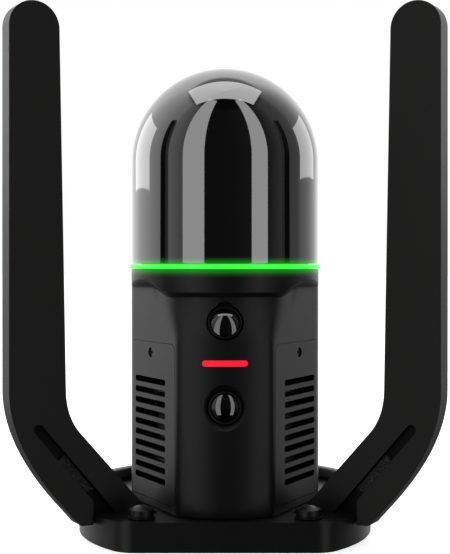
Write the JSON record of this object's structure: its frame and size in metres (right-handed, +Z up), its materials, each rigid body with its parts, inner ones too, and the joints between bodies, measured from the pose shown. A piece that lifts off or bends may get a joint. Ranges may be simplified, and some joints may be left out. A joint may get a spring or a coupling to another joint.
{
  "type": "terrestrial laser scanner",
  "caption": "Compact dome laser scanner with slanted cameras and vented sides, on a round carrier base with two bent guard arms.",
  "frame": {"origin": "on the underside of the base plate, on the spin axis of the dome", "axes": "+Z up along the spin axis, -Y towards the front cameras, +X to the right guard arm"},
  "size_m": [0.1732, 0.1178, 0.2141],
  "materials": {
    "black_paint": "fine satin black coating",
    "black_plastic": "satin black moulding",
    "rubber": "matt, finely ribbed",
    "dome_gloss": "polished infrared-clear black",
    "lens_glass": "coated dark lens",
    "light_green": "lit green light guide",
    "mark_red": "printed red",
    "steel": "turned steel",
    "aluminium": "milled",
    "circuit": "solder resist",
    "brass": "plain",
    "mirror_coat": "polished"
  },
  "bodies": {
    "root": {"base_plate": "black_paint", "rear_rim": "black_paint", "left_arm": "black_paint", "right_arm": "black_paint", "left_arm_strip": "rubber", "right_arm_strip": "rubber", "left_arm_screw_1": "steel", "left_arm_screw_2": "steel", "right_arm_screw_1": "steel", "right_arm_screw_2": "steel", "housing_screw_1": "steel", "housing_screw_2": "steel", "housing_screw_3": "steel", "housing_shell": "black_paint", "left_vent_panel": "black_paint", "right_vent_panel": "black_paint", "left_panel_screw": "steel", "right_panel_screw": "steel", "rear_cover": "black_paint", "rear_cover_screw_1": "steel", "rear_cover_screw_2": "steel", "rear_connector": "steel", "connector_insert": "brass", "front_camera_barrel": "black_plastic", "front_camera_glass": "lens_glass", "right_camera_barrel": "black_plastic", "right_camera_glass": "lens_glass", "left_camera_barrel": "black_plastic", "left_camera_glass": "lens_glass", "detail_camera_barrel": "black_plastic", "detail_camera_glass": "lens_glass", "front_mark": "mark_red", "light_ring": "light_green", "dome_seal": "rubber", "dome": "dome_gloss", "housing_floor": "aluminium", "frame": "aluminium", "bearing_deck": "aluminium", "main_board": "circuit", "heat_sink": "aluminium", "power_board": "circuit", "inertial_unit": "black_plastic", "left_fan_frame": "black_plastic", "right_fan_frame": "black_plastic", "slip_ring": "black_plastic", "azimuth_stator": "brass", "lower_bearing": "steel", "upper_bearing": "steel"},
    "turret_unit": {"turret": "aluminium", "turret_spindle": "steel", "azimuth_rotor": "steel", "laser_tube": "black_plastic", "receiver_lens": "lens_glass", "mirror_motor": "black_plastic"},
    "mirror_unit": {"scan_mirror": "mirror_coat", "mirror_shaft": "steel"},
    "left_fan": {"left_fan_rotor": "black_plastic"},
    "right_fan": {"right_fan_rotor": "black_plastic"},
    "left_fastener": {"left_knob": "black_plastic"},
    "right_fastener": {"right_knob": "black_plastic"}
  },
  "joints": [
    {"name": "turret_spin", "type": "hinge", "parent": "root", "child": "turret_unit", "pos_m": [0, 0, 0.112], "axis": [0, 0, 1], "continuous": true},
    {"name": "mirror_spin", "type": "hinge", "parent": "turret_unit", "child": "mirror_unit", "pos_m": [0, 0, 0.15], "axis": [1, 0, 0], "continuous": true},
    {"name": "left_fan_spin", "type": "hinge", "parent": "root", "child": "left_fan", "pos_m": [0, 0, 0.045], "axis": [-0.866, -0.5, 0], "continuous": true},
    {"name": "right_fan_spin", "type": "hinge", "parent": "root", "child": "right_fan", "pos_m": [0, 0, 0.045], "axis": [0.866, -0.5, 0], "continuous": true},
    {"name": "left_knob_turn", "type": "hinge", "parent": "root", "child": "left_fastener", "pos_m": [-0.03297, -0.0393, 0.0118], "axis": [0, 0, 1], "range_deg": [0, 90]},
    {"name": "right_knob_turn", "type": "hinge", "parent": "root", "child": "right_fastener", "pos_m": [0.03297, -0.0393, 0.0118], "axis": [0, 0, 1], "range_deg": [-90, 0]}
  ]
}
